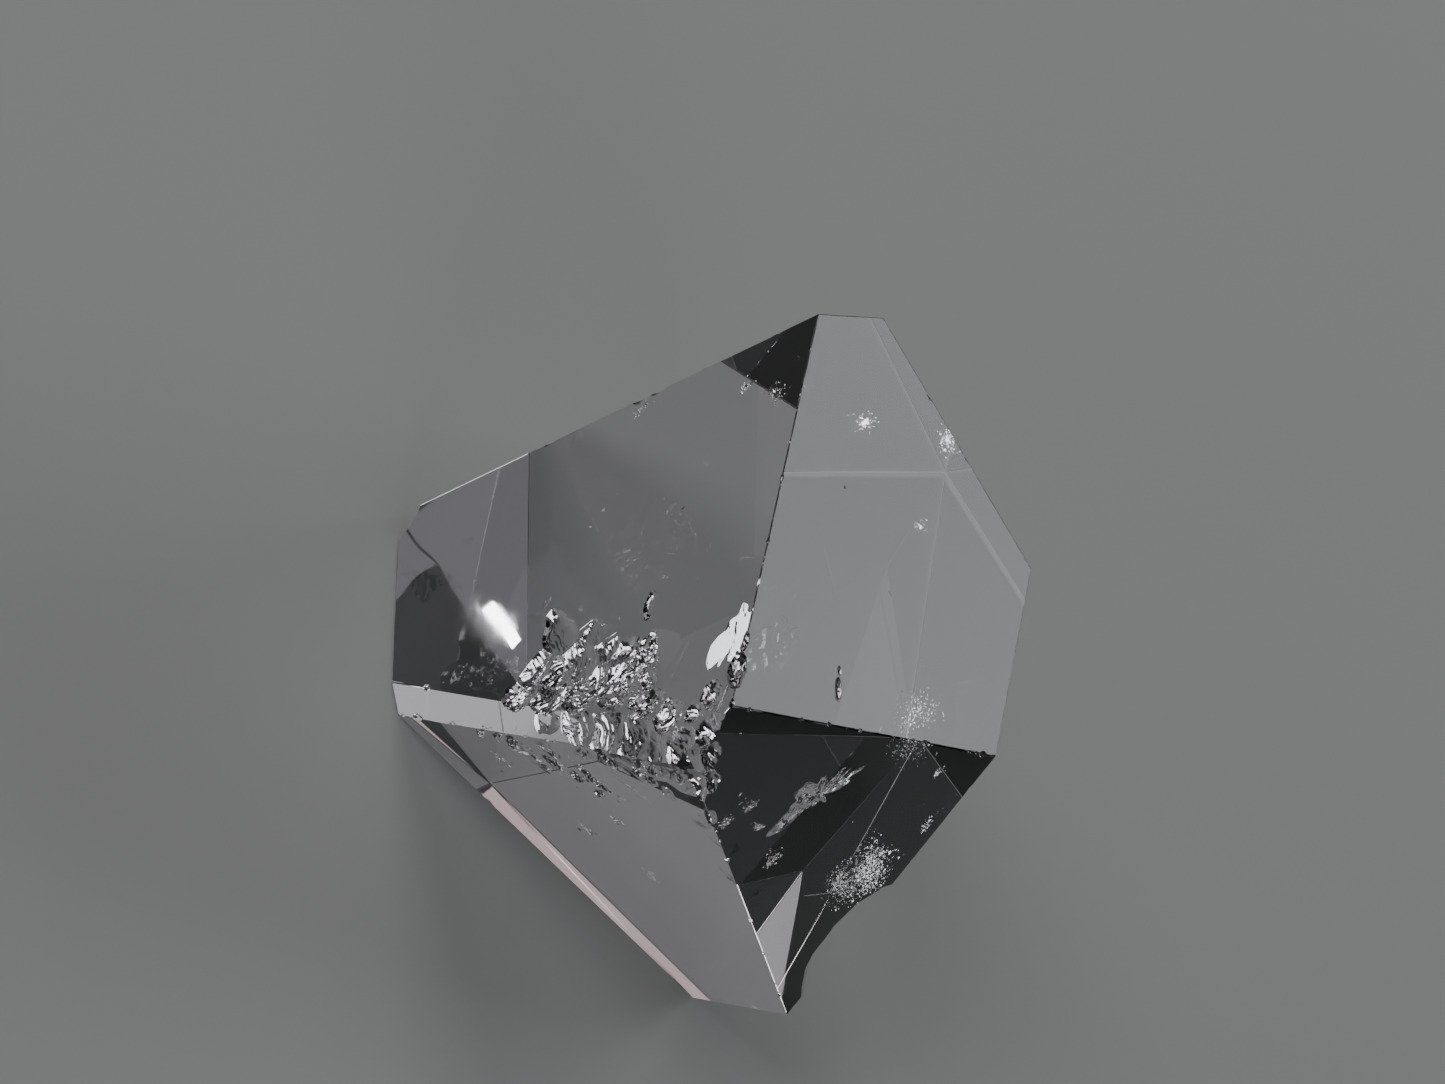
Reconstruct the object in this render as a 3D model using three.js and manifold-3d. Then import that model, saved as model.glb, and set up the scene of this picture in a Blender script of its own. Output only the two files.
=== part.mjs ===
/**
 * A gem-clear spinel crystal, lying on one of its eight broad faces.
 *
 * Spinel grows as octahedra. This one grew malformed: its eight flat faces lie at uneven distances
 * from the middle and lean off the ideal directions, so that its corners are drawn out into short
 * edges, and a narrow bevel stands in for one edge. Where four faces nearly meet, the crystal is
 * knocked and etched; a shell-shaped flake is missing from the edge below the front right face, and
 * small chips nick the long sharp edges.
 *
 * Units are millimetres and +Z is up. The crystal rests on z = 0, and the origin is below the middle
 * of its bounding box.
 */
import * as THREE from 'three';
import { mergeVertices } from 'three/addons/utils/BufferGeometryUtils.js';
import Module from 'manifold-3d';

// ---------------------------------------------------------------------------------------------
// Driving dimensions, in millimetres and degrees
// ---------------------------------------------------------------------------------------------

/**
 * Each face as a two-circle goniometer reads it. heading is the direction that the face looks in,
 * counted from +X towards +Y; tilt is how far it leans from looking straight up; distance is how far
 * its plane lies from the middle of the crystal.
 */
const FACES = {
  left: { heading: 224.8, tilt: 86.1, distance: 2.29 },
  top: { heading: 343, tilt: 18.6, distance: 2.75 },
  frontRight: { heading: 335.7, tilt: 61.5, distance: 2.82 },
  front: { heading: 293.4, tilt: 118.5, distance: 2.43 },
  backLeft: { heading: 162.9, tilt: 83.6, distance: 2.45 },
  back: { heading: 99.9, tilt: 45.6, distance: 3.09 },
  right: { heading: 43.6, tilt: 89.9, distance: 1.92 },
  bottom: { heading: 0, tilt: 180, distance: 2.23 },
  bevel: { heading: 241.6, tilt: 96.4, distance: 2.69 },
};

/** Edge length of the rough block that the faces are cut from, and of the blocks that cut them. */
const BLOCK = 14;

/** The crystal's left foot corner is broken off by this much, measured from the unbroken corner. */
const BROKEN_CORNER_DEPTH = 0.2;

/** A flake off the edge below the front right face, at this part of the way down that edge. */
const FLAKE = { along: 0.71, radius: 0.85, depth: 0.27, stretch: 1.25 };

/** Hollows knocked out of the blunt corner where left, top, frontRight and front nearly meet. */
const CORNER_HOLLOWS = [
  { faces: ['left', 'top', 'frontRight'], slide: -0.12, radius: 0.34, depth: 0.12 },
  { faces: ['left', 'bevel', 'frontRight'], slide: 0.0, radius: 0.3, depth: 0.1 },
  { faces: ['bevel', 'front', 'frontRight'], slide: 0.1, radius: 0.38, depth: 0.14 },
  { faces: ['bevel', 'front', 'frontRight'], slide: 0.45, radius: 0.3, depth: 0.09 },
];

/**
 * The etched patch of the left face, as shallow dishes. along runs up the bevel's upper edge from
 * its foot, inward is the distance from that edge.
 */
const ETCH_DISHES = [
  { along: 0.38, inward: 0.08, radius: 0.8, depth: 0.04 },
  { along: 0.44, inward: 0.2, radius: 0.9, depth: 0.06 },
  { along: 0.42, inward: 0.6, radius: 0.8, depth: 0.05 },
  { along: 0.48, inward: 0.75, radius: 0.9, depth: 0.06 },
  { along: 0.56, inward: 0.85, radius: 0.9, depth: 0.07 },
  { along: 0.52, inward: 0.5, radius: 1.0, depth: 0.07 },
  { along: 0.56, inward: 0.2, radius: 1.0, depth: 0.08 },
  { along: 0.62, inward: 0.62, radius: 1.0, depth: 0.08 },
  { along: 0.68, inward: 0.3, radius: 1.0, depth: 0.09 },
  { along: 0.69, inward: 1.17, radius: 0.5, depth: 0.035 },
  { along: 0.71, inward: 0.72, radius: 0.9, depth: 0.07 },
  { along: 0.79, inward: 0.45, radius: 1.0, depth: 0.09 },
  { along: 0.79, inward: 0.15, radius: 1.0, depth: 0.1 },
  { along: 0.87, inward: 0.4, radius: 0.9, depth: 0.08 },
];

/** Small pits on the front face, just under the bevel; along and inward as above. */
const FRONT_PITS = [
  { along: 0.32, inward: 0.23, radius: 0.3, depth: 0.03 },
  { along: 0.42, inward: 0.46, radius: 0.35, depth: 0.04 },
  { along: 0.5, inward: 0.5, radius: 0.3, depth: 0.04 },
  { along: 0.58, inward: 0.72, radius: 0.4, depth: 0.05 },
  { along: 0.73, inward: 0.6, radius: 0.3, depth: 0.03 },
];

/** Nicks along the sharp edges: the edge, and how far along it from its first end. */
const NICKS = [
  { edge: 'ridge', along: 0.06, radius: 0.1, depth: 0.035 },
  { edge: 'ridge', along: 0.2, radius: 0.07, depth: 0.02 },
  { edge: 'ridge', along: 0.43, radius: 0.07, depth: 0.02 },
  { edge: 'ridge', along: 0.61, radius: 0.06, depth: 0.02 },
  { edge: 'ridge', along: 0.83, radius: 0.07, depth: 0.02 },
  { edge: 'shoulder', along: 0.35, radius: 0.07, depth: 0.02 },
  { edge: 'shoulder', along: 0.72, radius: 0.09, depth: 0.025 },
  { edge: 'shoulder', along: 0.95, radius: 0.1, depth: 0.035 },
  { edge: 'keel', along: 0.36, radius: 0.08, depth: 0.025 },
  { edge: 'keel', along: 0.6, radius: 0.07, depth: 0.02 },
  { edge: 'bevelTop', along: 0.12, radius: 0.08, depth: 0.025 },
  { edge: 'bevelFoot', along: 0.07, radius: 0.12, depth: 0.04 },
  { edge: 'outerRight', along: 0.3, radius: 0.09, depth: 0.03 },
  { edge: 'leftBack', along: 0.4, radius: 0.12, depth: 0.04 },
];

/** Segments around and from pole to pole of the ball that scoops out the flake. */
const FLAKE_SEGMENTS = [48, 32];

/** How often the facets of a rough cutter are split: hollows and pits, then nicks. */
const HOLLOW_DETAIL = 2;
const NICK_DETAIL = 1;

/** Each rough cutter is turned on from the one before by this angle, so that no two breaks match. */
const TURN_STEP = 137.5;

/** Colour, roughness and alpha of the clear stone. */
const STONE = { colour: 0xcfc9d2, roughness: 0.03, opacity: 0.4 };

// ---------------------------------------------------------------------------------------------
// Planes, corners and edges
// ---------------------------------------------------------------------------------------------

const UP = new THREE.Vector3(0, 0, 1);

/** The outward unit normal of a face. */
function faceNormal(name) {
  const { heading, tilt } = FACES[name];
  const normal = new THREE.Vector3();
  normal.setFromSphericalCoords(1, THREE.MathUtils.degToRad(tilt), THREE.MathUtils.degToRad(heading));
  // three.js measures its spherical angles from +Y; this turns them to +Z, with heading from +X.
  return new THREE.Vector3(normal.z, normal.x, normal.y);
}

/** The point where the planes of three faces meet. */
function corner(first, second, third) {
  const normals = [first, second, third].map(faceNormal);
  const crosses = normals.map((_, i) => normals[(i + 1) % 3].clone().cross(normals[(i + 2) % 3]));
  const volume = normals[0].dot(crosses[0]);
  const point = new THREE.Vector3();
  [first, second, third].forEach((name, i) => {
    point.addScaledVector(crosses[i], FACES[name].distance / volume);
  });
  return point;
}

/** The outward direction between several faces. */
function between(names) {
  const sum = new THREE.Vector3();
  names.forEach((name) => sum.add(faceNormal(name)));
  return sum.normalize();
}

/** The long edges that carry damage: the two faces beside each, and its two ends. */
const EDGES = {
  ridge: {
    faces: ['left', 'top'],
    ends: [corner('left', 'top', 'frontRight'), corner('left', 'top', 'backLeft')],
  },
  shoulder: {
    faces: ['top', 'frontRight'],
    ends: [corner('left', 'top', 'frontRight'), corner('top', 'frontRight', 'right')],
  },
  keel: {
    faces: ['frontRight', 'front'],
    ends: [corner('bevel', 'front', 'frontRight'), corner('frontRight', 'front', 'right')],
  },
  bevelTop: {
    faces: ['left', 'bevel'],
    ends: [corner('left', 'bevel', 'bottom'), corner('left', 'bevel', 'frontRight')],
  },
  bevelFoot: {
    faces: ['bevel', 'front'],
    ends: [corner('bevel', 'front', 'bottom'), corner('bevel', 'front', 'frontRight')],
  },
  outerRight: {
    faces: ['top', 'back'],
    ends: [corner('top', 'back', 'backLeft'), corner('top', 'back', 'right')],
  },
  leftBack: {
    faces: ['left', 'backLeft'],
    ends: [corner('left', 'backLeft', 'top'), corner('left', 'backLeft', 'bottom')],
  },
  foot: {
    faces: ['frontRight', 'right'],
    ends: [corner('top', 'frontRight', 'right'), corner('frontRight', 'front', 'right')],
  },
};

/** A point at a part of the way along an edge. */
function onEdge(name, along) {
  const [start, end] = EDGES[name].ends;
  return start.clone().lerp(end, along);
}

/** A point on a face, at a part of the way along one of its edges and some way in from that edge. */
function onFace(face, edge, along, inward) {
  const [start, end] = EDGES[edge].ends;
  const run = end.clone().sub(start).normalize();
  const across = faceNormal(face).cross(run);
  const outward = between(EDGES[edge].faces);
  if (across.dot(outward) > 0) {
    across.negate();
  }
  return onEdge(edge, along).addScaledVector(across, inward);
}

// ---------------------------------------------------------------------------------------------
// Solids
// ---------------------------------------------------------------------------------------------

const wasm = await Module();
wasm.setup();

/** A closed geometry, with its place and turn applied, as a solid that can be joined and cut. */
function solid(geometry, matrix) {
  const placed = geometry.clone().applyMatrix4(matrix);
  placed.deleteAttribute('normal');
  placed.deleteAttribute('uv');
  const merged = mergeVertices(placed, 1e-5);
  return new wasm.Manifold(new wasm.Mesh({
    numProp: 3,
    vertProperties: new Float32Array(merged.attributes.position.array),
    triVerts: new Uint32Array(merged.index.array),
  }));
}

/** A big block whose near side lies on a plane, so that taking it away cuts that plane. */
function beyond(normal, distance) {
  const geometry = new THREE.BoxGeometry(BLOCK, BLOCK, BLOCK);
  const turn = new THREE.Quaternion().setFromUnitVectors(UP, normal);
  const centre = normal.clone().multiplyScalar(distance + BLOCK / 2);
  return solid(geometry, new THREE.Matrix4().compose(centre, turn, new THREE.Vector3(1, 1, 1)));
}

/** A cutter's place: its near side sinks to a depth below a point of the surface. */
function sunkCentre(point, outward, radius, depth) {
  return point.clone().addScaledVector(outward, radius - depth);
}

/** A rough, many-faceted cutter that leaves a hollow like a small break. */
function roughBite(point, outward, { radius, depth }, detail, index) {
  const geometry = new THREE.IcosahedronGeometry(radius, detail);
  const turn = new THREE.Quaternion();
  turn.setFromAxisAngle(outward, THREE.MathUtils.degToRad(index * TURN_STEP));
  const centre = sunkCentre(point, outward, radius, depth);
  return solid(geometry, new THREE.Matrix4().compose(centre, turn, new THREE.Vector3(1, 1, 1)));
}

/** The whole crystal before any damage: a block with everything beyond each face taken away. */
function flatFacedCrystal() {
  let body = solid(new THREE.BoxGeometry(BLOCK, BLOCK, BLOCK), new THREE.Matrix4());
  Object.keys(FACES).forEach((name) => {
    body = body.subtract(beyond(faceNormal(name), FACES[name].distance));
  });
  return body;
}

/** The plane break across the left foot corner. */
function cornerBreak() {
  const outward = between(['left', 'backLeft', 'bottom']);
  const reach = corner('left', 'backLeft', 'bottom').dot(outward);
  return beyond(outward, reach - BROKEN_CORNER_DEPTH);
}

/** The scar of the flake: a smooth scoop, longer along the edge. */
function flakeScar() {
  const [start, end] = EDGES.foot.ends;
  const run = end.clone().sub(start).normalize();
  const outward = between(EDGES.foot.faces);
  const centre = sunkCentre(onEdge('foot', FLAKE.along), outward, FLAKE.radius, FLAKE.depth);
  const turn = new THREE.Quaternion().setFromUnitVectors(new THREE.Vector3(1, 0, 0), run);
  const stretch = new THREE.Vector3(FLAKE.stretch, 1, 1);
  const geometry = new THREE.SphereGeometry(FLAKE.radius, ...FLAKE_SEGMENTS);
  return solid(geometry, new THREE.Matrix4().compose(centre, turn, stretch));
}

/** The hollows of the blunt corner, each slid a little along the line down the keel. */
function cornerHollows() {
  const [head] = EDGES.ridge.ends;
  const [, foot] = EDGES.keel.ends;
  const down = foot.clone().sub(head).normalize();
  return CORNER_HOLLOWS.map((hollow, index) => {
    const point = corner(...hollow.faces).addScaledVector(down, hollow.slide);
    return roughBite(point, between(hollow.faces), hollow, HOLLOW_DETAIL, index);
  });
}

/** The pits of one face, laid out from one of its edges. */
function pits(face, edge, list) {
  return list.map((pit, index) => {
    const point = onFace(face, edge, pit.along, pit.inward);
    return roughBite(point, faceNormal(face), pit, HOLLOW_DETAIL, index);
  });
}

/** The nicks along the sharp edges. */
function nicks() {
  return NICKS.map((nick, index) => {
    const outward = between(EDGES[nick.edge].faces);
    return roughBite(onEdge(nick.edge, nick.along), outward, nick, NICK_DETAIL, index);
  });
}

/** A solid's surface as three.js geometry, with its normals. */
function surfaceOf(body) {
  const mesh = body.getMesh();
  const geometry = new THREE.BufferGeometry();
  geometry.setAttribute('position', new THREE.BufferAttribute(mesh.vertProperties, mesh.numProp));
  geometry.setIndex(new THREE.BufferAttribute(mesh.triVerts, 1));
  geometry.computeVertexNormals();
  return geometry;
}

/** Moves a geometry so that it stands on z = 0 with the origin below the middle of its box. */
function standOnOrigin(geometry) {
  geometry.computeBoundingBox();
  const { min } = geometry.boundingBox;
  const middle = geometry.boundingBox.getCenter(new THREE.Vector3());
  return geometry.translate(-middle.x, -middle.y, -min.z);
}

const damage = [
  cornerBreak(),
  flakeScar(),
  ...cornerHollows(),
  ...pits('left', 'bevelTop', ETCH_DISHES),
  ...pits('front', 'bevelFoot', FRONT_PITS),
  ...nicks(),
];
let crystal = flatFacedCrystal();
damage.forEach((cutter) => {
  crystal = crystal.subtract(cutter);
});

const stone = new THREE.MeshStandardMaterial({
  color: STONE.colour,
  roughness: STONE.roughness,
  metalness: 0,
  transparent: true,
  opacity: STONE.opacity,
});

const spinel = new THREE.Mesh(standOnOrigin(surfaceOf(crystal)), stone);
spinel.name = 'spinel_crystal';

const model = new THREE.Group();
model.add(spinel);

export default model;
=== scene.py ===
"""A gem-clear spinel crystal, lying on one of its broad faces on a pale surface.

The crystal is one clear solid: an octahedron that grew malformed, with hairline worn edges, a
crushed blunt corner, a crinkled etched patch beside it, nicked edges, a shell-shaped flake scar at
its foot, three-sided growth pits and a few air-thin fractures inside. Shapes are worked out in
millimetres around the crystal's middle, the point from which the distances of its faces are
counted, and are written into the meshes in metres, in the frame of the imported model.
"""

import itertools
import logging
import math
from dataclasses import dataclass
from enum import Enum

import bmesh
import bpy
import numpy as np
from mathutils import Matrix, Vector

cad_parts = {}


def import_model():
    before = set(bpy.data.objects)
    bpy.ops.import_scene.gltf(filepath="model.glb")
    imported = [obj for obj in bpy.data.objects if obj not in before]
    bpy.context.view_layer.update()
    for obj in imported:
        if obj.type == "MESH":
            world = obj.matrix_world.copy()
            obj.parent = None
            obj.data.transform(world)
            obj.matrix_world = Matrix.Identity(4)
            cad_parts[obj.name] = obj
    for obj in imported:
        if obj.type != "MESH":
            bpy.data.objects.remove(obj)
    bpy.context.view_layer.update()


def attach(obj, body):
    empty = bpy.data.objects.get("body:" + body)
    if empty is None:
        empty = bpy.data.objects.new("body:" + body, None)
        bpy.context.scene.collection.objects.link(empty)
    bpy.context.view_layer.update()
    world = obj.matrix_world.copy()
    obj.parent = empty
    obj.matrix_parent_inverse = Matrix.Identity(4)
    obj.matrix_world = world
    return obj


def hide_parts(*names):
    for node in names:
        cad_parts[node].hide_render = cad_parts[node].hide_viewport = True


LOG = logging.getLogger("spinel")

MM = 0.001
NODE = "spinel_crystal"
SLOT = "clear_spinel"
SATIN = "satin"
BODY = "root"

# A point, a direction or a colour.
Triple = tuple[float, float, float]

# The crystal's middle above the frame's origin, in mm.
MIDDLE = np.array([-0.31806, -0.33252, 2.23])


class Face(Enum):
    """The crystal's flat faces: heading and tilt in degrees, distance from the middle in mm."""

    LEFT = (224.8, 86.1, 2.29)
    TOP = (343.0, 18.6, 2.75)
    FRONT_RIGHT = (335.7, 61.5, 2.82)
    FRONT = (293.4, 118.5, 2.43)
    BACK_LEFT = (162.9, 83.6, 2.45)
    BACK = (99.9, 45.6, 3.09)
    RIGHT = (43.6, 89.9, 1.92)
    BOTTOM = (0.0, 180.0, 2.23)
    BEVEL = (241.6, 96.4, 2.69)

    @property
    def normal(self) -> np.ndarray:
        """The outward unit normal, from the heading and the tilt.

        The heading turns from +X towards +Y, and the tilt leans from +Z.

        Returns:
            The normal.
        """
        heading, tilt = np.radians(self.value[:2])
        flat = math.sin(tilt)
        return np.array([flat * math.cos(heading), flat * math.sin(heading), math.cos(tilt)])

    @property
    def distance(self) -> float:
        """How far the face's plane lies from the crystal's middle."""
        return self.value[2]


# ------------------------------------------------------------------------------------------------
# Planes, corners and edges
# ------------------------------------------------------------------------------------------------


def unit(vector: np.ndarray) -> np.ndarray:
    """A vector scaled to length one."""
    return vector / np.linalg.norm(vector)


def corner(*faces: Face) -> np.ndarray:
    """The point where the planes of three faces meet."""
    return np.linalg.solve([face.normal for face in faces], [face.distance for face in faces])


def between(*faces: Face) -> np.ndarray:
    """The outward direction midway between several faces."""
    return unit(np.sum([face.normal for face in faces], axis=0))


class Edge(Enum):
    """The long edges: the two faces beside each, then the faces that end it at its two corners."""

    RIDGE = (Face.LEFT, Face.TOP, Face.FRONT_RIGHT, Face.BACK_LEFT)
    SHOULDER = (Face.TOP, Face.FRONT_RIGHT, Face.LEFT, Face.RIGHT)
    KEEL = (Face.FRONT_RIGHT, Face.FRONT, Face.BEVEL, Face.RIGHT)
    BEVEL_TOP = (Face.LEFT, Face.BEVEL, Face.BOTTOM, Face.FRONT_RIGHT)
    BEVEL_FOOT = (Face.BEVEL, Face.FRONT, Face.BOTTOM, Face.FRONT_RIGHT)
    OUTER_RIGHT = (Face.TOP, Face.BACK, Face.BACK_LEFT, Face.RIGHT)
    FOOT = (Face.FRONT_RIGHT, Face.RIGHT, Face.TOP, Face.FRONT)
    REST_FRONT = (Face.FRONT, Face.BOTTOM, Face.BEVEL, Face.RIGHT)
    LEFT_BACK = (Face.LEFT, Face.BACK_LEFT, Face.TOP, Face.BOTTOM)

    @property
    def sides(self) -> tuple[Face, Face]:
        """The two faces that meet at the edge."""
        return self.value[:2]

    @property
    def start(self) -> np.ndarray:
        """The corner at the edge's first end."""
        return corner(*self.sides, self.value[2])

    @property
    def run(self) -> np.ndarray:
        """The whole edge as a vector, from its first end to its second."""
        return corner(*self.sides, self.value[3]) - self.start

    @property
    def outward(self) -> np.ndarray:
        """The outward direction at the edge."""
        return between(*self.sides)

    def at(self, along: float) -> np.ndarray:
        """The point at a part of the way along the edge."""
        return self.start + along * self.run

    def inward(self, face: Face) -> np.ndarray:
        """The direction that runs in from the edge, square to it, on one of its faces."""
        across = unit(np.cross(face.normal, self.run))
        return -across if across @ self.outward > 0 else across

    def axes(self, face: Face) -> np.ndarray:
        """Axes on a face as rows: along the edge, in from it, and out of the face."""
        return np.array([unit(self.run), self.inward(face), face.normal])

    def on(self, face: Face, along: float, inward: float) -> np.ndarray:
        """The point of a face at a part of the way along the edge and some mm in from it."""
        return self.at(along) + inward * self.inward(face)


# How close, in mm, a plane must pass a corner that it holds; how far outside a plane rounding may
# put a corner; to how many decimals of a mm corners are told apart; and the least determinant of
# three normals whose planes meet in one point.
TOUCH = 1e-4
SLACK = 1e-7
DECIMALS = 6
SOLVABLE = 1e-6


def polyhedron(normals: np.ndarray, distances: np.ndarray) -> tuple[np.ndarray, list[list[int]]]:
    """The convex solid inside a set of planes.

    Every corner is a point where three planes meet and that no other plane cuts off. A face's
    corners are put in order by their angle around the face's own middle.

    Args:
        normals: Outward unit normals, one row for each plane.
        distances: The planes' distances from the origin.

    Returns:
        The corners, and for each plane its corners' indices, anticlockwise from outside.
    """
    triples = np.array(list(itertools.combinations(range(len(normals)), 3)))
    meets = triples[np.abs(np.linalg.det(normals[triples])) > SOLVABLE]
    points = np.linalg.solve(normals[meets], distances[meets][..., None])[..., 0]
    kept = (points @ normals.T <= distances + SLACK).all(axis=1)
    corners = np.unique(np.round(points[kept], DECIMALS), axis=0)
    polygons = []
    for normal, distance in zip(normals, distances):
        rim = np.flatnonzero(np.abs(corners @ normal - distance) < TOUCH)
        spokes = corners[rim] - corners[rim].mean(axis=0)
        zero = unit(spokes[0])
        turn = np.arctan2(spokes @ np.cross(normal, zero), spokes @ zero)
        polygons.append(rim[np.argsort(turn)].tolist())
    return corners, polygons


# Directions that the fractures face, by the part of the crystal below which they lie.
BELOW_TOP = (0.504, 0.166, 0.848)
BELOW_RIDGE = (-0.482, -0.136, 0.866)
BELOW_LEFT = (0.012, -0.372, 0.928)
BELOW_FRONT = (0.091, -0.583, 0.807)
BELOW_FOOT = (0.72, 0.06, 0.692)
BELOW_BLUNT_CORNER = (-0.329, -0.643, 0.692)
BELOW_OUTER_RIGHT = (0.213, 0.131, 0.968)
BELOW_SHOULDER = (-0.205, 0.013, 0.979)

# Directions in which the inner fractures run.
THROUGH = (0.2, 0.9, 0.3)
ACROSS = (1.0, 0.2, 0.4)
UNDER_BEVEL = (0.69, -0.13, 0.71)


# ------------------------------------------------------------------------------------------------
# Roughness of broken and etched stone
# ------------------------------------------------------------------------------------------------


# Large primes, one for each index of a cell; how far apart seeds and the three numbers lie; and
# the shifts and odd factors that scramble their bits.
CELL_PRIMES = (73856093, 19349663, 83492791)
SEED_STEP = 2654435
NUMBER_STEPS = (0, 7919, 104729)
SCRAMBLES = ((13, 1274126177), (15, 668265263))
LAST_SHIFT = 16


def dice(cells: np.ndarray, seed: int) -> np.ndarray:
    """Three even random numbers from 0 to 1 for each whole-numbered cell.

    A cell's three indices are multiplied by large primes, mixed by exclusive or with the seed, and
    scrambled by shifts and multiplications, all on whole arrays of 64-bit integers.

    Args:
        cells: Integer cells, with x, y and z in the last axis.
        seed: Picks one of many patterns.

    Returns:
        An array of the same shape, of numbers from 0 to 1.
    """
    mask = 0xFFFFFFFF
    mixed = np.bitwise_xor.reduce(cells * np.array(CELL_PRIMES), axis=-1)
    numbers = (mixed[..., None] ^ (seed * SEED_STEP + np.array(NUMBER_STEPS))) & mask
    for shift, factor in SCRAMBLES:
        numbers = ((numbers ^ (numbers >> shift)) * factor) & mask
    return (numbers ^ (numbers >> LAST_SHIFT)) / mask


# About the mean of a field of bowls, squared.
MEAN_BOWL = 0.3


def bowls(points: np.ndarray, size: float, seed: int) -> np.ndarray:
    """Distance to the nearest of many scattered points, in units of their spacing.

    Each cube of a lattice holds one point at a random place, and the distance to the nearest is
    the least over the 27 cubes around. Its square is a field of round bowls that meet in sharp
    ridges, as in broken or etched stone.

    Args:
        points: Places, one row each.
        size: The lattice's spacing, the bowls' width.
        seed: Picks the pattern.

    Returns:
        0 at the middle of each bowl, rising to about 0.8 on the ridges.
    """
    home = np.floor(points / size).astype(np.int64)
    nearest = np.full(len(points), np.inf)
    for step in itertools.product((-1, 0, 1), repeat=3):
        cells = home + np.array(step)
        centres = (cells + dice(cells, seed)) * size
        nearest = np.minimum(nearest, np.linalg.norm(points - centres, axis=1) / size)
    return nearest


def swell(points: np.ndarray, size: float, seed: int) -> np.ndarray:
    """Smooth random swell from -1 to 1: random values at lattice points, blended between them.

    The blend along each axis is 3t^2 - 2t^3, with t the place between two lattice points.

    Args:
        points: Places, one row each.
        size: The lattice's spacing.
        seed: Picks the pattern.

    Returns:
        One number for each place.
    """
    scaled = points / size
    home = np.floor(scaled).astype(np.int64)
    t = scaled - home
    ease = t * t * (3 - 2 * t)
    total = np.zeros(len(points))
    for step in itertools.product((0, 1), repeat=3):
        weight = np.prod(np.where(np.array(step), ease, 1 - ease), axis=1)
        total += weight * dice(home + np.array(step), seed)[:, 0]
    return 2 * total - 1


# ------------------------------------------------------------------------------------------------
# Meshes from grids
# ------------------------------------------------------------------------------------------------


# Points closer than this, in mm, are one point.
MERGE = 1e-6


def closed_mesh(name: str, grids: list[np.ndarray]) -> bpy.types.Mesh:
    """A closed mesh from grids of points whose seams, poles or rims coincide.

    Args:
        name: The mesh's name.
        grids: Grids with rows, columns and x, y, z as their axes.

    Returns:
        The mesh, shaded smooth, with coinciding points merged and its faces pointing outwards.
    """
    work = bmesh.new()
    for points in grids:
        rows, columns = points.shape[:2]
        index = np.arange(rows * columns).reshape(rows, columns)
        quads = np.stack([index[:-1, :-1], index[1:, :-1], index[1:, 1:], index[:-1, 1:]], axis=-1)
        sheet = bpy.data.meshes.new(name)
        sheet.from_pydata(points.reshape(-1, 3).tolist(), [], quads.reshape(-1, 4).tolist())
        work.from_mesh(sheet)
        bpy.data.meshes.remove(sheet)
    bmesh.ops.remove_doubles(work, verts=work.verts[:], dist=MERGE)
    bmesh.ops.recalc_face_normals(work, faces=work.faces[:])
    mesh = bpy.data.meshes.new(name)
    work.to_mesh(mesh)
    work.free()
    mesh.polygons.foreach_set("use_smooth", np.ones(len(mesh.polygons), bool))
    return mesh


def facet_mesh(name: str, points: np.ndarray, faces: np.ndarray) -> bpy.types.Mesh:
    """A mesh of small closed bodies with flat faces.

    Args:
        name: The mesh's name.
        points: The bodies' corners, one row each.
        faces: For each three-sided face its corners' indices.

    Returns:
        The mesh, shaded flat, with its faces pointing outwards.
    """
    mesh = bpy.data.meshes.new(name)
    mesh.from_pydata(points.tolist(), [], faces.tolist())
    work = bmesh.new()
    work.from_mesh(mesh)
    bmesh.ops.recalc_face_normals(work, faces=work.faces[:])
    work.to_mesh(mesh)
    work.free()
    mesh.polygons.foreach_set("use_smooth", np.zeros(len(mesh.polygons), bool))
    return mesh


class Skin(Enum):
    """How a cutter leaves the stone: the number of the material slot that marks its faces."""

    GLASSY = 0
    SATIN = 1

    def mark(self, mesh: bpy.types.Mesh) -> bpy.types.Mesh:
        """Marks all the faces of a mesh.

        Args:
            mesh: The mesh.

        Returns:
            The same mesh.
        """
        slots = np.full(len(mesh.polygons), self.value, np.int32)
        mesh.polygons.foreach_set("material_index", slots)
        return mesh


def ball_grid(rows: int, columns: int) -> np.ndarray:
    """A unit ball as a grid: the sine and cosine of two angles, down from its pole and around.

    Args:
        rows: How many rows run from pole to pole.
        columns: How many columns run once around, the last on the first.

    Returns:
        Points, with rows, columns and x, y, z as the axes.
    """
    polar, turn = np.meshgrid(
        np.linspace(0, np.pi, rows), np.linspace(0, 2 * np.pi, columns), indexing="ij"
    )
    ring = np.sin(polar)
    return np.stack([ring * np.cos(turn), ring * np.sin(turn), np.cos(polar)], axis=-1)


def axes_of(outward: np.ndarray, run: np.ndarray) -> np.ndarray:
    """Three axes, square to each other.

    Args:
        outward: The direction of the third axis.
        run: A direction that the first axis follows as far as the third lets it.

    Returns:
        The axes as rows: along the run, across it, and outward.
    """
    third = unit(outward)
    first = unit(run - (run @ third) * third)
    return np.array([first, np.cross(third, first), third])


# ------------------------------------------------------------------------------------------------
# Damage: everything that is cut out of the flat-faced crystal
# ------------------------------------------------------------------------------------------------


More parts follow.
